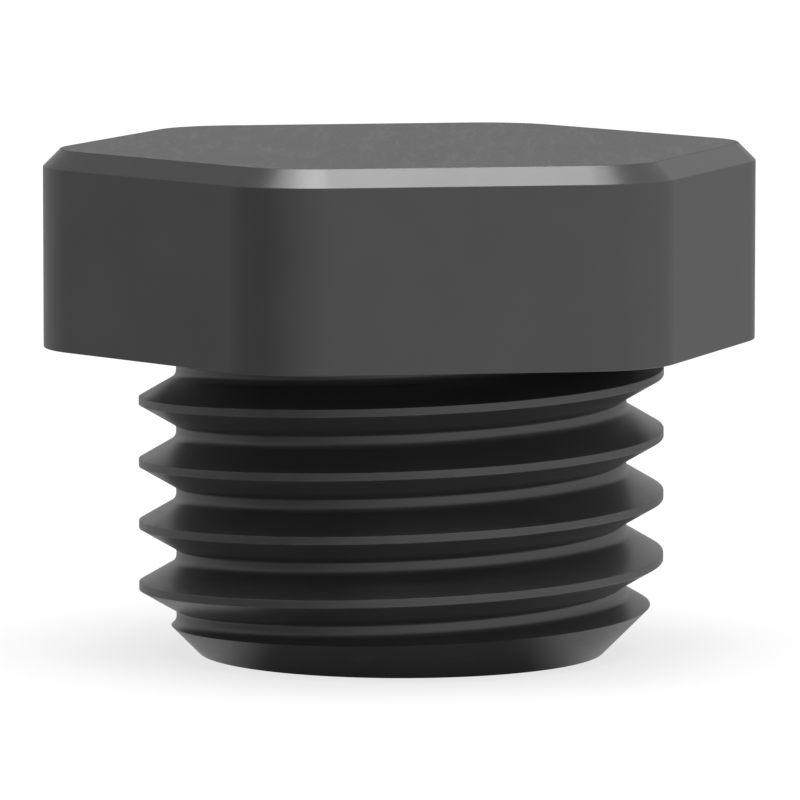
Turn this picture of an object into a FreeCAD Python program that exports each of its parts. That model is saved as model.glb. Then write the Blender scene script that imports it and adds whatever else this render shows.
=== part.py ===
import FreeCAD, Part
import math
import os

# Hex head screw plug, one solid piece of dark plastic that closes a threaded port
# Millimetres, +Z up. The origin is on the thread's axis, in the plane of the head's underside.
# The plug stands on its threaded end with the head on top, and two of the head's flats face +Y and -Y.

# Head
across_flats = 36.7
corner_radius = 6.0
head_height = 11.15
top_chamfer = 1.0

# Threaded shank: a right-hand 60 degree thread, 30 mm coarse, cut a little under its nominal diameter
major_diameter = 29.6
pitch = 3.5
flank_angle = 60.0
root_radius = 0.55
shank_length = 17.5
end_chamfer = 3.35
# Degrees about the axis at which the middle of the crest runs into the head's underside
crest_meets_head = 145.0

# Sealing land: the ring of the underside that a washer seats on, this far clear of the thread's crests
land_clearance = 0.1

# Proportions of the thread form, and the number of narrow flats that make the round on the root's lower side
crest_per_pitch = 0.125
root_flats = 2

# Worked out from the sizes above
axis = FreeCAD.Vector(0, 0, 1)
origin = FreeCAD.Vector(0, 0, 0)
major_radius = major_diameter / 2
crest_width = crest_per_pitch * pitch
half_flank = math.radians(flank_angle / 2)
half_groove = (pitch - crest_width) / 2
same_height = 1e-6
root_centre = major_radius - half_groove / math.tan(half_flank) + root_radius / math.sin(half_flank)


def hexagon(flats):
    """Regular hexagon at height zero, with two of its sides facing +Y and -Y."""
    corner_distance = flats / 2 / math.cos(math.pi / 6)
    corners = []
    for side in range(7):
        angle = side * math.pi / 3
        x = corner_distance * math.cos(angle)
        corners.append(FreeCAD.Vector(x, corner_distance * math.sin(angle), 0))
    return Part.Face(Part.makePolygon(corners))


def edges_at(shape, z):
    """Edges of a shape that lie whole in the plane at this height."""
    found = []
    for edge in shape.Edges:
        box = edge.BoundBox
        if abs(box.ZMin - z) < same_height and abs(box.ZMax - z) < same_height:
            found.append(edge)
    return found


def make_head():
    """Hexagonal prism with its upright edges rounded, and then the rim of its top chamfered all round."""
    prism = hexagon(across_flats).extrude(axis * head_height)
    upright = [edge for edge in prism.Edges if edge.BoundBox.ZLength > head_height / 2]
    head = prism.makeFillet(corner_radius, upright)
    return head.makeChamfer(top_chamfer, edges_at(head, head_height))


def make_blank():
    """Turned shank before threading, with the lead-in chamfer at its free end."""
    end = -shank_length
    outline = [
        FreeCAD.Vector(0, 0, end),
        FreeCAD.Vector(major_radius - end_chamfer, 0, end),
        FreeCAD.Vector(major_radius, 0, end + end_chamfer),
        FreeCAD.Vector(major_radius, 0, 0),
        FreeCAD.Vector(0, 0, 0),
    ]
    return Part.Face(Part.makePolygon(outline + outline[:1])).revolve(origin, axis, 360)


def groove_section(z):
    """Section of the groove over the X axis, its root rounded at the lower side and sharp at the upper."""
    beyond_crest = crest_width / 2
    mouth_x = major_radius + beyond_crest
    mouth_z = half_groove + beyond_crest * math.tan(half_flank)
    step = (math.pi / 2 - half_flank) / root_flats
    corner_reach = root_radius / math.cos(step / 2)
    points = [FreeCAD.Vector(mouth_x, 0, z - mouth_z)]
    for corner in range(root_flats, 0, -1):
        angle = (corner - 0.5) * step
        x = root_centre - corner_reach * math.cos(angle)
        points.append(FreeCAD.Vector(x, 0, z - corner_reach * math.sin(angle)))
    sharp_corner = root_radius * math.tan(half_flank)
    points.append(FreeCAD.Vector(root_centre - root_radius, 0, z + sharp_corner))
    points.append(FreeCAD.Vector(mouth_x, 0, z + mouth_z))
    return Part.makePolygon(points + points[:1])


def make_turn(z):
    """Cutter for one turn of the groove, which starts over the X axis at this height and climbs one pitch."""
    path = Part.makeHelix(pitch, pitch, major_radius)
    path.translate(axis * z)
    return path.makePipeShell([groove_section(z)], True, True)


def cut_thread(blank):
    """Cut the groove turn by turn, from below the free end to above the head's underside."""
    turns_below = math.ceil(shank_length / pitch) + 1
    shank = blank
    for turn in range(turns_below + 2):
        cutter = make_turn((turn - turns_below - 0.5) * pitch)
        cutter.rotate(origin, axis, crest_meets_head)
        shank = shank.cut(cutter)
    return shank


def make_plug():
    """Head and threaded shank as one solid, with the sealing land marked off as a face of its own."""
    land_core = Part.makeCylinder(major_radius + land_clearance, head_height / 2)
    return make_head().multiFuse([land_core, cut_thread(make_blank())]).Solids[0]


os.makedirs("parts", exist_ok=True)
make_plug().exportStep("parts/screw_plug.step")
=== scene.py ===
import bpy
import math
import numpy as np
from mathutils import Matrix, Vector


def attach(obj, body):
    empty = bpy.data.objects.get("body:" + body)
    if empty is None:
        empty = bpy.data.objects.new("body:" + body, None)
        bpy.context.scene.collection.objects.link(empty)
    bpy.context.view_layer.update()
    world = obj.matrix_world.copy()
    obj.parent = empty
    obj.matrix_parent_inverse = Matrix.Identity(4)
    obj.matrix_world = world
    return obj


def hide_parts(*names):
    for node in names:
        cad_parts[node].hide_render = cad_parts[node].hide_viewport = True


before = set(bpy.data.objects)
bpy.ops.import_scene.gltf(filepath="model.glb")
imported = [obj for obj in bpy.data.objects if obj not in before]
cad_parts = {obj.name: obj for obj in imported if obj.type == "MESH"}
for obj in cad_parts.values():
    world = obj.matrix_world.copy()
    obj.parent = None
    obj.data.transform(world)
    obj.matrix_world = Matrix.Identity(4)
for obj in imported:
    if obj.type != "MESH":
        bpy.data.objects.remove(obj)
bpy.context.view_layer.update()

# Metres in a millimetre. All sizes below are in millimetres, apart from those that say otherwise.
MM = 0.001

# The plug's sizes, as the solid has them
ACROSS_FLATS = 36.7
CORNER_RADIUS = 6.0
HEAD_HEIGHT = 11.15
TOP_CHAMFER = 1.0
MAJOR_RADIUS = 14.8
PITCH = 3.5
CREST_PER_PITCH = 0.125
FLANK = math.radians(30)
ROOT_RADIUS = 0.55
SHANK_LENGTH = 17.5
END_CHAMFER = 3.35
CREST_MEETS_HEAD = math.radians(145.0)

# Fine forms that only the visible mesh has: broken edges, and a small round at the root's upper corner
HEAD_EDGE = 0.09
CREST_EDGE = 0.05
ROOT_EDGE = 0.25
END_EDGE = 0.08

# Mesh density: columns along a flat and round a corner of the head, and rows in the parts of a section
FLAT_STEPS = 40
ARC_STEPS = 20
ROOT_STEPS = 6
FLANK_STEPS = 6
EDGE_STEPS = 4

# Shares of the way across a surface at which it has a ring or a row of vertices
TOP_RINGS = (0.2, 0.4, 0.6, 0.8, 0.92, 0.98)
CHAMFER_RINGS = (0.12, 0.5, 0.88)
WALL_RINGS = (0.02, 0.06, 0.2, 0.4, 0.6, 0.8, 0.94, 0.98)
UNDERSIDE_RINGS = (0.1, 0.35, 0.7, 0.95)
ROOT_FLOOR_ROWS = (0.5, 0.85)
END_RINGS = (0.9, 0.6, 0.3)

# Number of heights at which the end bevel is compared with the thread, and how far above it they reach
CREASE_SAMPLES = 1600
CREASE_REACH = 0.02

# Tolerances: for a point on the bevel or on the thread, and for a place along an outline or a section
ON_SURFACE = 1e-4
SAME_PLACE = 1e-6

# Share of its radius past which a round is taken to get no steeper
STEEPEST = 0.999

# An edge is rubbed where its normal is this far from upright, level and 45 degrees
TURNED = 0.02


def round_corner(before, corner, after, radius, steps):
    """Points and outward normals of a rounded convex corner, on the way from before to after.

    The points before and after only give the directions of the corner's sides.
    """
    before, corner, after = (np.array(p, float) for p in (before, corner, after))
    way_in = (corner - before) / np.linalg.norm(corner - before)
    way_out = (after - corner) / np.linalg.norm(after - corner)
    turn = math.acos(np.clip(way_in @ way_out, -1, 1))
    side = math.copysign(1.0, way_in[0] * way_out[1] - way_in[1] * way_out[0])
    inward = side * np.array([-way_in[1], way_in[0]])
    centre = corner - way_in * radius * math.tan(turn / 2) + inward * radius
    found = []
    for step in range(steps + 1):
        angle = turn * step / steps
        outward = -inward * math.cos(angle) + way_in * math.sin(angle)
        found.append((centre + radius * outward, outward))
    return found


# Head: columns round its outline, with the outward direction at each
HALF_FLATS = ACROSS_FLATS / 2
FLAT_HALF_LENGTH = (HALF_FLATS - CORNER_RADIUS) * math.tan(math.pi / 6)
CORNER_CENTRE = (HALF_FLATS - CORNER_RADIUS) / math.cos(math.pi / 6)


def outline_columns():
    """Points of the head's outline and their outward directions, counter-clockwise from the +X corner."""
    points, outward = [], []
    for side in range(6):
        corner = side * math.pi / 3
        centre = CORNER_CENTRE * np.array([math.cos(corner), math.sin(corner)])
        for step in range(ARC_STEPS):
            angle = corner - math.pi / 6 + (math.pi / 3) * step / ARC_STEPS
            normal = np.array([math.cos(angle), math.sin(angle)])
            points.append(centre + CORNER_RADIUS * normal)
            outward.append(normal)
        angle = corner + math.pi / 6
        normal = np.array([math.cos(angle), math.sin(angle)])
        along = np.array([-normal[1], normal[0]])
        for step in range(FLAT_STEPS):
            place = FLAT_HALF_LENGTH * (2 * step / FLAT_STEPS - 1)
            points.append(HALF_FLATS * normal + place * along)
            outward.append(normal)
    return np.array(points), np.array(outward)


OUTLINE, OUTWARD = outline_columns()
COLUMNS = len(OUTLINE)
THETA = np.arctan2(OUTLINE[:, 1], OUTLINE[:, 0])
THETA = np.where(THETA < THETA[0] - SAME_PLACE, THETA + 2 * math.pi, THETA)


def rings_between(start, end, shares):
    """Points between the end of one rounded corner and the start of the next, with the normal they share."""
    (first, normal), (last, _) = start, end
    return [(first + (last - first) * share, normal) for share in shares]


def head_section():
    """Points (distance past the outline, height) and normals (outward, up) down the head's section."""
    top_inner = (-TOP_CHAMFER, HEAD_HEIGHT)
    top_outer = (0.0, HEAD_HEIGHT - TOP_CHAMFER)
    under = (0.0, 0.0)
    inner_edge = round_corner((-TOP_CHAMFER - 1, HEAD_HEIGHT), top_inner, top_outer, HEAD_EDGE, EDGE_STEPS)
    outer_edge = round_corner(top_inner, top_outer, under, HEAD_EDGE, EDGE_STEPS)
    lower_edge = round_corner(top_outer, under, (-1.0, 0.0), HEAD_EDGE, EDGE_STEPS)
    chamfer = rings_between(inner_edge[-1], outer_edge[0], CHAMFER_RINGS)
    wall = rings_between(outer_edge[-1], lower_edge[0], WALL_RINGS)
    return inner_edge + chamfer + outer_edge + wall + lower_edge


# Thread: its section over one pitch, with heights from the middle of the crest
CREST_WIDTH = PITCH * CREST_PER_PITCH
SHARP_DEPTH = (PITCH - CREST_WIDTH) / 2 / math.tan(FLANK)
ROOT_CENTRE = MAJOR_RADIUS - SHARP_DEPTH + ROOT_RADIUS / math.sin(FLANK)
ROOT_FLOOR = ROOT_CENTRE - ROOT_RADIUS
FLANK_TURN = math.pi / 2 - FLANK
CREST_FLAT_END = CREST_WIDTH / 2 - CREST_EDGE * math.tan(FLANK_TURN / 2)
ROUND_END = CREST_FLAT_END + CREST_EDGE * math.sin(FLANK_TURN)
EDGE_CENTRE = MAJOR_RADIUS - CREST_EDGE

# Distances from the middle of the root to the end of its wide round, and to both ends of the small one above
ROUND_SIDE = ROOT_RADIUS * math.cos(FLANK)
SHARP_START = ROOT_RADIUS * math.tan(FLANK) - ROOT_EDGE * math.tan(FLANK_TURN / 2)
SHARP_END = SHARP_START + ROOT_EDGE * math.sin(FLANK_TURN)


def round_rows(radius, steps):
    """Distances of a round's rows from its start, where it runs along the axis, as far as the flank."""
    return [radius * math.sin(FLANK_TURN * step / steps) for step in range(steps + 1)]


def thread_rows():
    """Heights of the mesh rows in one pitch, from the middle of a crest up to the next."""
    root = PITCH / 2
    crest_edge = [CREST_FLAT_END + row for row in round_rows(CREST_EDGE, EDGE_STEPS)]
    lower_flank = np.linspace(ROUND_END, root - ROUND_SIDE, FLANK_STEPS + 1)[1:-1]
    wide_round = [root - row for row in round_rows(ROOT_RADIUS, ROOT_STEPS)[::-1]]
    root_floor = [root + SHARP_START * share for share in ROOT_FLOOR_ROWS]
    small_round = [root + SHARP_START + row for row in round_rows(ROOT_EDGE, EDGE_STEPS)]
    upper_flank = np.linspace(root + SHARP_END, PITCH - ROUND_END, FLANK_STEPS + 1)[1:-1]
    next_edge = [PITCH - row for row in crest_edge[::-1]]
    return [0.0, *crest_edge, *lower_flank, *wide_round, *root_floor, *small_round, *upper_flank, *next_edge]


def arc(distance, radius):
    """What is left of a round's radius, as a share of it, and the slope, this far from its start."""
    across = np.clip(distance / radius, 0, STEEPEST)
    left = np.sqrt(1 - across ** 2)
    return left, -across / left


def profile(offset):
    """Radius of the thread, and its slope along the axis, at a height above the middle of a crest."""
    from_crest = (np.asarray(offset, float) + PITCH / 2) % PITCH - PITCH / 2
    folded = np.abs(from_crest)
    from_root = PITCH / 2 - folded
    sign = np.where(from_crest >= 0, 1.0, -1.0)
    radius = np.full(folded.shape, MAJOR_RADIUS)
    slope = np.zeros(folded.shape)

    def put(where, new_radius, new_slope):
        radius[...] = np.where(where, new_radius, radius)
        slope[...] = np.where(where, new_slope, slope)

    left, steep = arc(folded - CREST_FLAT_END, CREST_EDGE)
    put((folded > CREST_FLAT_END) & (folded <= ROUND_END), EDGE_CENTRE + CREST_EDGE * left, steep)
    depth = (folded - CREST_WIDTH / 2) / math.tan(FLANK)
    put(folded > ROUND_END, MAJOR_RADIUS - depth, -1 / math.tan(FLANK))
    left, steep = arc(from_root, ROOT_RADIUS)
    put((from_root < ROUND_SIDE) & (sign > 0), ROOT_CENTRE - ROOT_RADIUS * left, steep)
    left, steep = arc(from_root - SHARP_START, ROOT_EDGE)
    put((from_root < SHARP_END) & (sign < 0), ROOT_FLOOR + ROOT_EDGE * (1 - left), steep)
    return radius, slope * sign


def crest_height(theta):
    """Height of the middle of the crest at this angle, on the turn that meets the head's underside."""
    return PITCH * (theta - CREST_MEETS_HEAD) / (2 * math.pi)


def cone(height):
    """Radius of the bevel at the shank's free end."""
    return MAJOR_RADIUS - END_CHAMFER + (height + SHANK_LENGTH)


# Height at which the bevel ends and its rounded edge to the end face starts
BEVEL_END = -SHANK_LENGTH + END_EDGE * math.tan(math.pi / 8) * math.sin(math.pi / 4)


class Surface:
    """Vertices and faces of the plug. A vertex has a normal of its own in each zone that it borders."""

    def __init__(self):
        self.vertices, self.faces, self.zones = [], [], []
        self.normals, self.rubbed = {}, set()

    def add(self, x, y, z):
        self.vertices.append((x, y, z))
        return len(self.vertices) - 1

    def middle(self, zone, height, up):
        """Middle of a flat face, as a ring whose columns all meet in one vertex."""
        vertex = self.add(0, 0, height)
        self.normals[zone, vertex] = (0, 0, up)
        return [vertex] * COLUMNS

    def ring(self, zone, points, height, out, up):
        """One vertex per column at this height. Normals have a level part each, and one upward part."""
        ring = [self.add(x, y, height) for x, y in points]
        for vertex, (x, y) in zip(ring, out):
            self.normals[zone, vertex] = (x, y, up)
        return ring

    def face(self, zone, corners):
        """Face without the sides that have shrunk to a point."""
        ring = [corner for n, corner in enumerate(corners) if corner != corners[n - 1]]
        if len(ring) > 2:
            self.faces.append(ring)
            self.zones.append(zone)

    def band(self, zone, upper, lower):
        """Faces between two rings. Returns the lower one."""
        for i in range(COLUMNS):
            k = (i + 1) % COLUMNS
            self.face(zone, [upper[i], lower[i], lower[k], upper[k]])
        return lower

    def to_blender(self, name):
        """Mesh in metres, with the zones' normals and the rubbed edges as an attribute."""
        mesh = bpy.data.meshes.new(name)
        mesh.from_pydata([tuple(c * MM for c in v) for v in self.vertices], [], self.faces)
        mesh.polygons.foreach_set("use_smooth", [True] * len(mesh.polygons))
        corners = [(zone, v) for face, zone in zip(self.faces, self.zones) for v in face]
        loops = np.array([self.normals[corner] for corner in corners], float)
        loops /= np.linalg.norm(loops, axis=1, keepdims=True)
        mesh.normals_split_custom_set([tuple(n) for n in loops])
        edge_wear = mesh.attributes.new("edge_wear", "FLOAT", "POINT")
        edge_wear.data.foreach_set("value", [float(v in self.rubbed) for v in range(len(self.vertices))])
        mesh.update()
        return mesh


def add_head(surface):
    """Top face, bevel, walls and underside, in to where the thread is near. Returns the innermost ring."""
    level = np.zeros((COLUMNS, 2))
    section = head_section()
    inner = OUTLINE + OUTWARD * section[0][0][0]
    previous = surface.middle("head", HEAD_HEIGHT, 1)
    for share in TOP_RINGS:
        ring = surface.ring("head", inner * share, HEAD_HEIGHT, level, 1)
        previous = surface.band("head", previous, ring)
    for (past, height), (out, up) in section:
        ring = surface.ring("head", OUTLINE + OUTWARD * past, height, OUTWARD * out, up)
        if min(abs(out), abs(up)) > TURNED and abs(out - up) > TURNED:
            surface.rubbed.update(ring)
        previous = surface.band("head", previous, ring)
    thread_radius, _ = profile(-crest_height(THETA))
    rim = OUTLINE + OUTWARD * section[-1][0][0]
    meet = np.stack([thread_radius * np.cos(THETA), thread_radius * np.sin(THETA)], 1)
    for share in UNDERSIDE_RINGS:
        ring = surface.ring("head", rim + (meet - rim) * share, 0.0, level, -1)
        previous = surface.band("head", previous, ring)
    return previous


def fit_crease(levels, shift):
    """Heights of a column's rows, the rows on the shank, and those moved to where bevel and thread meet."""
    z = levels + shift
    inside = np.nonzero((z < 0) & (z > BEVEL_END))[0]
    fine = np.linspace(BEVEL_END, -SHANK_LENGTH + END_CHAMFER + CREASE_REACH, CREASE_SAMPLES)
    gap = cone(fine) - profile(fine - shift)[0]
    moved = []
    for n in np.nonzero(np.sign(gap[1:]) != np.sign(gap[:-1]))[0]:
        hit = fine[n] + gap[n] / (gap[n] - gap[n + 1]) * (fine[n + 1] - fine[n])
        near = inside[np.argmin(np.abs(levels[inside] + shift - hit))]
        z[near] = hit
        moved.append(int(near))
    return z, inside, moved


def shank_columns(surface, levels):
    """Vertices of the thread and the end bevel, one column per angle, whose rows follow the helix.

    Returns the vertex at each column and row, the places in that grid where bevel and thread meet, and the
    vertices on the bevel and on the thread. Rows past the underside or the end share the last vertex there.
    """
    grid = np.full((COLUMNS, len(levels)), -1, int)
    crease, on_cone, on_thread = set(), set(), set()
    for i, theta in enumerate(THETA):
        c, s = math.cos(theta), math.sin(theta)
        shift = crest_height(theta)
        z, inside, moved = fit_crease(levels, shift)
        crease.update((i, row) for row in moved)
        heights = np.concatenate([[0.0], z[inside], [BEVEL_END]])
        thread_radius, slope = profile(heights - shift)
        cone_radius = cone(heights)
        radius = np.minimum(thread_radius, cone_radius)
        in_reach = heights < -SHANK_LENGTH + END_CHAMFER + CREASE_REACH / 2
        is_cone = (cone_radius - radius < ON_SURFACE) & in_reach
        is_thread = thread_radius - radius < ON_SURFACE
        from_crest = np.abs((heights - shift + PITCH / 2) % PITCH - PITCH / 2)
        is_rubbed = (from_crest > CREST_FLAT_END - SAME_PLACE) & (from_crest < ROUND_END + SAME_PLACE)
        swirl = PITCH / (2 * math.pi * radius) * slope
        added = [surface.add(r * c, r * s, h) for r, h in zip(radius, heights)]
        for n, vertex in enumerate(added):
            surface.normals["thread", vertex] = (c - swirl[n] * s, s + swirl[n] * c, -slope[n])
            surface.normals["cone", vertex] = (c, s, -1.0)
            for holds, kept in ((is_cone, on_cone), (is_thread, on_thread), (is_rubbed, surface.rubbed)):
                if holds[n]:
                    kept.add(vertex)
        grid[i, :inside[0]] = added[0]
        grid[i, inside] = added[1:-1]
        grid[i, inside[-1] + 1:] = added[-1]
    return grid, crease, on_cone, on_thread


def cut_at_crease(corners, creased):
    """A four-sided face, cut in two where the crease runs between two opposite corners."""
    a, b, c, d = corners
    if len(set(corners)) == 4 and creased[0] and creased[2]:
        return [[a, b, c], [a, c, d]]
    if len(set(corners)) == 4 and creased[1] and creased[3]:
        return [[a, b, d], [b, c, d]]
    return [corners]


def add_shank(surface, previous):
    """Rest of the underside, thread and end bevel. Returns the bevel's lowest ring."""
    one_pitch = thread_rows()
    turns = math.ceil(SHANK_LENGTH / PITCH) + 2
    levels = np.array([(turn - turns) * PITCH + row for turn in range(turns + 2) for row in one_pitch])[::-1]
    grid, crease, on_cone, on_thread = shank_columns(surface, levels)
    top_ring = grid[:, 0].tolist()
    for vertex in top_ring:
        surface.normals["head", vertex] = (0, 0, -1)
    surface.band("head", previous, top_ring)
    for i in range(COLUMNS):
        # the last column joins the first one pitch further along the helix
        k = (i + 1) % COLUMNS
        lift = len(one_pitch) if k == 0 else 0
        for j in range(len(levels) - 1):
            places = [(i, j), (i, j + 1), (k, max(j + 1 - lift, 0)), (k, max(j - lift, 0))]
            corners = [int(grid[place]) for place in places]
            for face in cut_at_crease(corners, [place in crease for place in places]):
                bevel = on_cone.issuperset(face) and not on_thread.issuperset(face)
                surface.face("cone" if bevel else "thread", face)
    return grid[:, -1].tolist()


def add_end(surface, previous):
    """Rounded edge of the free end and its flat face."""
    around = np.stack([np.cos(THETA), np.sin(THETA)], 1)
    end_radius = MAJOR_RADIUS - END_CHAMFER
    on_bevel, corner = (end_radius + 1, -SHANK_LENGTH + 1), (end_radius, -SHANK_LENGTH)
    section = round_corner(on_bevel, corner, (0.0, -SHANK_LENGTH), END_EDGE, EDGE_STEPS)
    for vertex, (x, y) in zip(previous, around):
        surface.normals["end", vertex] = (x, y, -1.0)
    for (radius, height), (out, up) in section[1:]:
        ring = surface.ring("end", radius * around, height, out * around, up)
        previous = surface.band("end", previous, ring)
    flat_radius = section[-1][0][0]
    for share in END_RINGS:
        ring = surface.ring("end", flat_radius * share * around, -SHANK_LENGTH, 0 * around, -1)
        previous = surface.band("end", previous, ring)
    surface.band("end", previous, surface.middle("end", -SHANK_LENGTH, -1))


def build_plug():
    """The whole plug as one closed mesh, from the middle of the top to the middle of the end face."""
    surface = Surface()
    innermost = add_head(surface)
    lowest = add_shank(surface, innermost)
    add_end(surface, lowest)
    return surface.to_blender("screw_plug_body")


plug = bpy.data.objects.new("plug_body", build_plug())
bpy.context.scene.collection.objects.link(plug)
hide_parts("screw_plug")
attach(plug, "root")


class Tree:
    """Short ways to add nodes to a material's or a world's node tree."""

    def __init__(self, owner):
        owner.use_nodes = True
        self.nodes, self.links = owner.node_tree.nodes, owner.node_tree.links

    def put(self, socket, value):
        """Gives a socket a value, or links another node's output to it."""
        if isinstance(value, bpy.types.NodeSocket):
            self.links.new(value, socket)
        else:
            socket.default_value = value

    def node(self, kind, values=None, **settings):
        made = self.nodes.new("ShaderNode" + kind)
        for name, value in settings.items():
            setattr(made, name, value)
        for name, value in (values or {}).items():
            self.put(made.inputs[name], value)
        return made

    def math(self, operation, a, b=0.0, clamp=False):
        return self.node("Math", {0: a, 1: b}, operation=operation, use_clamp=clamp).outputs[0]

    def times(self, a, b):
        return self.math("MULTIPLY", a, b)

    def plus(self, a, b):
        return self.math("ADD", a, b)

    def vector(self, operation, a, b=(0.0, 0.0, 0.0)):
        made = self.node("VectorMath", {0: a, 1: b}, operation=operation)
        return made.outputs["Value" if operation in ("DOT_PRODUCT", "LENGTH") else "Vector"]

    def ramp(self, value, span, to=(0.0, 1.0), smooth=True):
        """A value mapped from one span to another, and held at its ends."""
        inputs = {"Value": value, "From Min": span[0], "From Max": span[1], "To Min": to[0], "To Max": to[1]}
        kind = "SMOOTHSTEP" if smooth else "LINEAR"
        return self.node("MapRange", inputs, interpolation_type=kind).outputs["Result"]

    def noise(self, place, scale, detail, distortion=0.0):
        inputs = {"Vector": place, "Scale": scale, "Detail": detail, "Distortion": distortion}
        return self.node("TexNoise", inputs).outputs["Fac"]

    def blend(self, share, a, b):
        """Mix of two colours."""
        made = self.node("Mix", data_type="RGBA")
        for number, value in ((0, share), (6, a), (7, b)):
            self.put(made.inputs[number], value)
        return made.outputs[2]

    def mix(self, share, a, b):
        """Mix of two values."""
        return self.node("Mix", {"Factor": share, "A": a, "B": b}).outputs["Result"]

    def mix_shaders(self, share, a, b):
        return self.node("MixShader", {0: share, 1: a, 2: b}).outputs[0]


# Plastic: its index of refraction and colours, and how much of a rubbed edge, mark or speck shows
REFRACTION = 1.6
DARKER = (0.0265, 0.0267, 0.0268, 1)
PALER = (0.0305, 0.0304, 0.0302, 1)
RUBBED_COLOUR = (0.05, 0.05, 0.051, 1)
RUBBED_SHARE = 0.5
MARKS_COLOUR = (0.085, 0.085, 0.085, 1)
MARKS_SHARE = 0.33
DUST_COLOUR = (0.12, 0.12, 0.118, 1)
DUST_SHARE = 0.5

# Depths below the top face between which its finish sets in
TOP_FINISH = (0.05, 0.005)

# Noises, as scale per millimetre and detail: soft unevenness, fine grain, and one for the rubbed edges
CLOUD_NOISE = (0.22, 3.0)
GRAIN_NOISE = (5.5, 3.0)
RUBBED_NOISE = (0.9, 4.0)

# Values of a noise between which an effect sets in, and the middle of its values
NOISE_SPAN = (0.3, 0.7)
WIDE_SPAN = (0.25, 0.75)
RUBBED_SPAN = (0.35, 0.7)
NOISE_MIDDLE = 0.5

# Fibrous marks of the top face: ridges of a noise that is turned and drawn out to this size in millimetres.
# The noise itself is given as scale, detail and distortion.
MARKS_TURN = -0.196
MARKS_SIZE = (0.9, 8.5, 1.0)
MARKS_SEEDS = (0.0, 37.0, 71.0)
MARKS_NOISE = (1.0, 2.0, 0.6)

# Distances from the noise's middle value over which a mark fades, and the noise that breaks up the marks
MARKS_WIDTH = (0.0, 0.045)
BREAK_NOISE = (0.8, 1.0)
BREAK_SHIFT = 5.0
BREAK_SPAN = (0.5, 0.6)

# Dust: cells per millimetre, radii between which a speck fades in its cell, and share of cells without one
DUST_SCALE = 0.75
DUST_SIZE = (0.02, 0.06)
DUST_RARITY = 0.83

# Roughness of the walls and of the top face, and what grain, marks and rubbed edges add to it
WALL_ROUGHNESS = (0.285, 0.325)
WALL_GRAIN_ROUGHNESS = (-0.004, 0.004)
TOP_ROUGHNESS = (0.52, 0.6)
MARKS_ROUGHNESS = 0.06
RUBBED_ROUGHNESS = 0.06

# Relief in millimetres: of the grain everywhere, and of the grain and the marks on the top face
GRAIN_RELIEF = 0.0006
TOP_GRAIN_RELIEF = 0.012
MARKS_RELIEF = 0.003


def fibrous_marks(tree, place):
    """Fibrous marks: the strongest, at each place, of three layers that differ only in their seed."""
    marks = None
    for seed in MARKS_SEEDS:
        inputs = {"Vector": place, "Location": (seed, 0.0, 0.0), "Rotation": (0.0, 0.0, MARKS_TURN),
                  "Scale": MARKS_SIZE}
        drawn = tree.node("Mapping", inputs, vector_type="TEXTURE").outputs["Vector"]
        from_middle = tree.math("SUBTRACT", tree.noise(drawn, *MARKS_NOISE), NOISE_MIDDLE)
        ridge = tree.ramp(tree.math("ABSOLUTE", from_middle), MARKS_WIDTH, (1.0, 0.0))
        shifted = tree.vector("ADD", drawn, (seed, BREAK_SHIFT, 0.0))
        line = tree.times(ridge, tree.ramp(tree.noise(shifted, *BREAK_NOISE), BREAK_SPAN))
        marks = line if marks is None else tree.math("MAXIMUM", marks, line)
    return marks


def dust_specks(tree, place):
    """Small round specks, one in each of a few cells."""
    cells = tree.node("TexVoronoi", {"Vector": place, "Scale": DUST_SCALE})
    speck = tree.ramp(cells.outputs["Distance"], DUST_SIZE, (1.0, 0.0))
    draw = tree.node("SeparateColor", {0: cells.outputs["Color"]}).outputs[0]
    return tree.times(speck, tree.math("GREATER_THAN", draw, DUST_RARITY))


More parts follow.
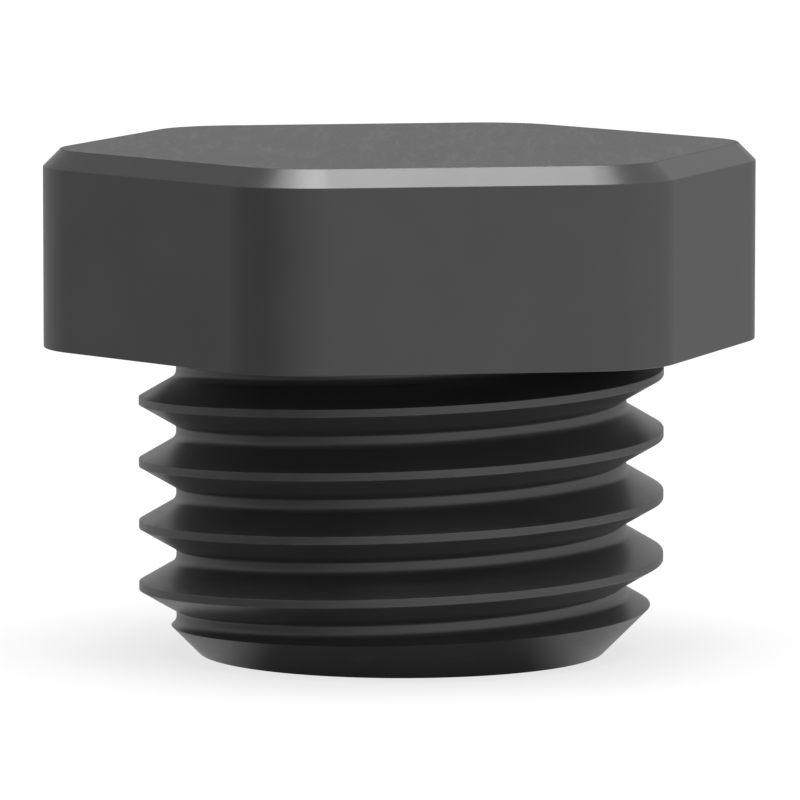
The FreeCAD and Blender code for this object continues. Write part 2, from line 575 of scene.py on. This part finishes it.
def make_plastic():
    """Dark plastic: satin walls, a more matt top with faint fibrous marks, and edges rubbed a bit paler."""
    material = bpy.data.materials.new("dark_plastic")
    tree = Tree(material)
    shader = tree.nodes["Principled BSDF"]
    shader.inputs["IOR"].default_value = REFRACTION
    place = tree.vector("SCALE", tree.node("TexCoord").outputs["Object"])
    place.node.inputs["Scale"].default_value = 1 / MM
    height = tree.node("SeparateXYZ", {0: place}).outputs["Z"]
    on_top = tree.ramp(height, [HEAD_HEIGHT - depth for depth in TOP_FINISH])
    cloud = tree.noise(place, *CLOUD_NOISE)
    grain = tree.noise(place, *GRAIN_NOISE)
    marks = tree.times(fibrous_marks(tree, place), on_top)
    dust = tree.times(dust_specks(tree, place), on_top)
    edges = tree.node("Attribute", attribute_name="edge_wear").outputs["Fac"]
    rubbed = tree.times(edges, tree.ramp(tree.noise(place, *RUBBED_NOISE), RUBBED_SPAN))

    colour = tree.blend(tree.ramp(cloud, NOISE_SPAN), DARKER, PALER)
    colour = tree.blend(tree.times(marks, MARKS_SHARE), colour, MARKS_COLOUR)
    colour = tree.blend(tree.times(rubbed, RUBBED_SHARE), colour, RUBBED_COLOUR)
    colour = tree.blend(tree.times(dust, DUST_SHARE), colour, DUST_COLOUR)
    tree.put(shader.inputs["Base Color"], colour)

    wall_grain = tree.ramp(grain, WIDE_SPAN, WALL_GRAIN_ROUGHNESS)
    wall_rough = tree.plus(tree.ramp(cloud, NOISE_SPAN, WALL_ROUGHNESS), wall_grain)
    top_rough = tree.plus(tree.ramp(grain, NOISE_SPAN, TOP_ROUGHNESS), tree.times(marks, MARKS_ROUGHNESS))
    rough = tree.plus(tree.mix(on_top, wall_rough, top_rough), tree.times(rubbed, RUBBED_ROUGHNESS))
    tree.put(shader.inputs["Roughness"], rough)

    top_relief = tree.plus(tree.times(grain, TOP_GRAIN_RELIEF), tree.times(marks, MARKS_RELIEF))
    relief = tree.plus(tree.times(grain, GRAIN_RELIEF), tree.times(top_relief, on_top))
    bump = tree.node("Bump", {"Height": relief, "Distance": MM, "Strength": 1.0})
    tree.put(shader.inputs["Normal"], bump.outputs["Normal"])
    return material


plug.data.materials.append(make_plastic())

# Floor: half the side of its square, and how far it lies below the plug's end face
FLOOR_HALF = 4000.0
FLOOR_CLEARANCE = 0.02


def floor_sheet():
    """Flat square that the plug stands on."""
    half, z = FLOOR_HALF * MM, -(SHANK_LENGTH + FLOOR_CLEARANCE) * MM
    mesh = bpy.data.meshes.new("floor_sheet")
    corners = [(-half, -half, z), (half, -half, z), (half, half, z), (-half, half, z)]
    mesh.from_pydata(corners, [], [(0, 1, 2, 3)])
    return mesh


floor = bpy.data.objects.new("floor", floor_sheet())
bpy.context.scene.collection.objects.link(floor)

# The surroundings as the plug reflects them: a tent, bright at the front right, grey at the left and behind.
# These are the directions to its bright side and to two darker places, and the one across the camera's view.
BRIGHT_SIDE = (0.626, -0.780, 0.0)
DARK_SIDE = (-0.9455, -0.3256, 0.0)
HIGH_LEFT = (-0.463, 0.608, 0.644)
VIEW_ACROSS = (0.981, -0.195, 0.0)

# How near a direction comes to the bright side where the tent is brightest, and how steeply it brightens
BRIGHT_FULL = 0.9
BRIGHT_POWER = 1.5

# The darker places: how near a direction is to one where it starts and is darkest, and what it takes off
DARK_SPAN = (0.8, 1.0)
DARK_DEPTH = (0.0, 0.17)
HIGH_SPAN = (0.75, 0.95)
HIGH_DEPTH = (0.0, 0.19)

# Dimmest and brightest shade of the tent, and of the floor as the plug reflects it; on the floor they are
# painted light and shade
TENT_SHADES = (0.58, 1.05)
FLOOR_PAINTED_SHADES = (0.45, 1.05)

# The floor close to the plug, as the plug reflects it: distances across the view, and the shades there.
# These shades are a painted shadow: reflections see the floor darkest straight in front of the plug.
NEAR_SPAN = (7.0, 11.0)
NEAR_PAINTED_SHADOW = (0.1, 0.54)

# Distances from the axis over which the floor close to the plug passes into the rest
AWAY_SPAN = (14.0, 20.0)

# The floor's roughness, its colours as it lights the plug and as it is seen, and the white seen in it
FLOOR_ROUGHNESS = 0.9
FLOOR_LIT = (0.5, 0.5, 0.5, 1)
FLOOR_SEEN = (0.8, 0.8, 0.8, 1)
FLOOR_WHITE = 0.75

# Strength of the soft light that the world gives
WORLD_LIGHT = 0.5


def side_shade(tree, direction, shades):
    """Shade that brightens as a direction turns to the bright side, with a gap at the dark side."""
    nearness = tree.vector("DOT_PRODUCT", direction, BRIGHT_SIDE)
    turned = tree.math("DIVIDE", nearness, BRIGHT_FULL, clamp=True)
    shade = tree.ramp(tree.math("POWER", turned, BRIGHT_POWER), (0.0, 1.0), shades, smooth=False)
    gap = tree.ramp(tree.vector("DOT_PRODUCT", direction, DARK_SIDE), DARK_SPAN, DARK_DEPTH)
    return tree.math("SUBTRACT", shade, gap)


def seen_directly(paths):
    """Sockets of the rays that see white all around: the camera's, and those through clear things."""
    return paths.outputs["Is Camera Ray"], paths.outputs["Is Transmission Ray"]


def make_floor():
    """Pale matt sheet, seen nearly white but with the plug's shadow. Reflections see it glow in painted
    shades.
    """
    material = bpy.data.materials.new("pale_floor")
    tree = Tree(material)
    sheet = tree.nodes["Principled BSDF"]
    sheet.inputs["Roughness"].default_value = FLOOR_ROUGHNESS
    sheet.inputs["Specular IOR Level"].default_value = 0.0
    paths = tree.node("LightPath")
    tree.put(sheet.inputs["Base Color"], tree.blend(paths.outputs["Is Camera Ray"], FLOOR_LIT, FLOOR_SEEN))

    flat = tree.vector("MULTIPLY", tree.node("NewGeometry").outputs["Position"], (1 / MM, 1 / MM, 0.0))
    beside = tree.math("ABSOLUTE", tree.vector("DOT_PRODUCT", flat, VIEW_ACROSS))
    # Painted shadow and light: reflections see the floor dark in front of the plug and bright at the front
    # right
    near = tree.ramp(beside, NEAR_SPAN, NEAR_PAINTED_SHADOW)
    far = side_shade(tree, tree.vector("NORMALIZE", flat), FLOOR_PAINTED_SHADES)
    shade = tree.mix(tree.ramp(tree.vector("LENGTH", flat), AWAY_SPAN), near, far)

    reflected = tree.node("Emission", {"Strength": shade}).outputs[0]
    white = tree.node("Emission", {"Strength": 1.0}).outputs[0]
    white_share = tree.times(tree.math("MAXIMUM", *seen_directly(paths)), FLOOR_WHITE)
    seen = tree.mix_shaders(white_share, sheet.outputs[0], white)
    whole = tree.mix_shaders(paths.outputs["Is Glossy Ray"], seen, reflected)
    tree.put(tree.nodes["Material Output"].inputs["Surface"], whole)
    material.cycles.emission_sampling = "NONE"
    return material


floor.data.materials.append(make_floor())


def make_world():
    """White where it is seen, the tent's shades in reflections, and a plain soft light for the rest."""
    world = bpy.data.worlds.new("studio")
    tree = Tree(world)
    tree.nodes.clear()
    paths = tree.node("LightPath")
    direction = tree.node("TexCoord").outputs["Generated"]
    high_gap = tree.ramp(tree.vector("DOT_PRODUCT", direction, HIGH_LEFT), HIGH_SPAN, HIGH_DEPTH)
    tent = tree.math("SUBTRACT", side_shade(tree, direction, TENT_SHADES), high_gap)

    def glow(strength):
        return tree.node("Background", {"Color": (1, 1, 1, 1), "Strength": strength}).outputs[0]

    lit = tree.mix_shaders(paths.outputs["Is Glossy Ray"], glow(WORLD_LIGHT), glow(tent))
    whole = tree.mix_shaders(tree.math("MAXIMUM", *seen_directly(paths)), lit, glow(1.0))
    tree.put(tree.node("OutputWorld").inputs["Surface"], whole)
    return world


bpy.context.scene.world = make_world()


def add_sun(name, azimuth, elevation, angle, strength):
    """Soft far lamp, with its angles in degrees. Azimuth 0 is in front (-Y), and 90 is to the right (+X)."""
    data = bpy.data.lights.new(name, "SUN")
    data.angle = math.radians(angle)
    data.energy = strength
    lamp = bpy.data.objects.new(name, data)
    a, e = math.radians(azimuth), math.radians(elevation)
    way = Vector((math.sin(a) * math.cos(e), -math.cos(a) * math.cos(e), math.sin(e)))
    lamp.rotation_mode = "QUATERNION"
    lamp.rotation_quaternion = way.to_track_quat("Z", "Y")
    bpy.context.scene.collection.objects.link(lamp)


add_sun("overhead_softbox", azimuth=18, elevation=84, angle=52, strength=2.65)
add_sun("softbox_middle", azimuth=0, elevation=85, angle=22, strength=0.62)

# Camera at the photograph's place, as fitted to the plug's edges. Its place, and its yaw, pitch and roll in
# radians, are in a frame whose y axis runs away from the viewer, and are turned from it into the plug's.
FRAME_TURN = 0.196081
CAMERA_AT = (6.8144, -429.8844, 41.7754)
CAMERA_TURN = (-0.0160125, 0.1044150, 0.0004936)
FOCAL_PIXELS = 7666.5
PICTURE_PIXELS = 800
SENSOR = 36.0

# Nearest and furthest distance that the camera shows, in metres
CLIP = (0.01, 50.0)


def make_camera():
    """Pinhole camera with the photograph's view, and no shift."""
    yaw, pitch, roll = CAMERA_TURN
    forward = np.array([math.sin(yaw) * math.cos(pitch), math.cos(yaw) * math.cos(pitch), -math.sin(pitch)])
    right = np.array([math.cos(yaw), -math.sin(yaw), 0.0])
    up = np.cross(right, forward)
    across = math.cos(roll) * right + math.sin(roll) * up
    upward = -math.sin(roll) * right + math.cos(roll) * up
    c, s = math.cos(FRAME_TURN), math.sin(FRAME_TURN)
    turn = np.array([[c, s, 0], [-s, c, 0], [0, 0, 1]])
    columns = [turn @ across, turn @ upward, turn @ -forward, turn @ (np.array(CAMERA_AT) * MM)]
    data = bpy.data.cameras.new("photo_camera")
    data.sensor_fit = "HORIZONTAL"
    data.sensor_width = SENSOR
    data.lens = FOCAL_PIXELS * SENSOR / PICTURE_PIXELS
    data.clip_start, data.clip_end = CLIP
    camera = bpy.data.objects.new("photo_camera", data)
    camera.matrix_world = Matrix([*np.stack(columns, 1).tolist(), (0, 0, 0, 1)])
    bpy.context.scene.collection.objects.link(camera)
    bpy.context.scene.camera = camera


make_camera()
bpy.context.scene.view_settings.view_transform = "Standard"
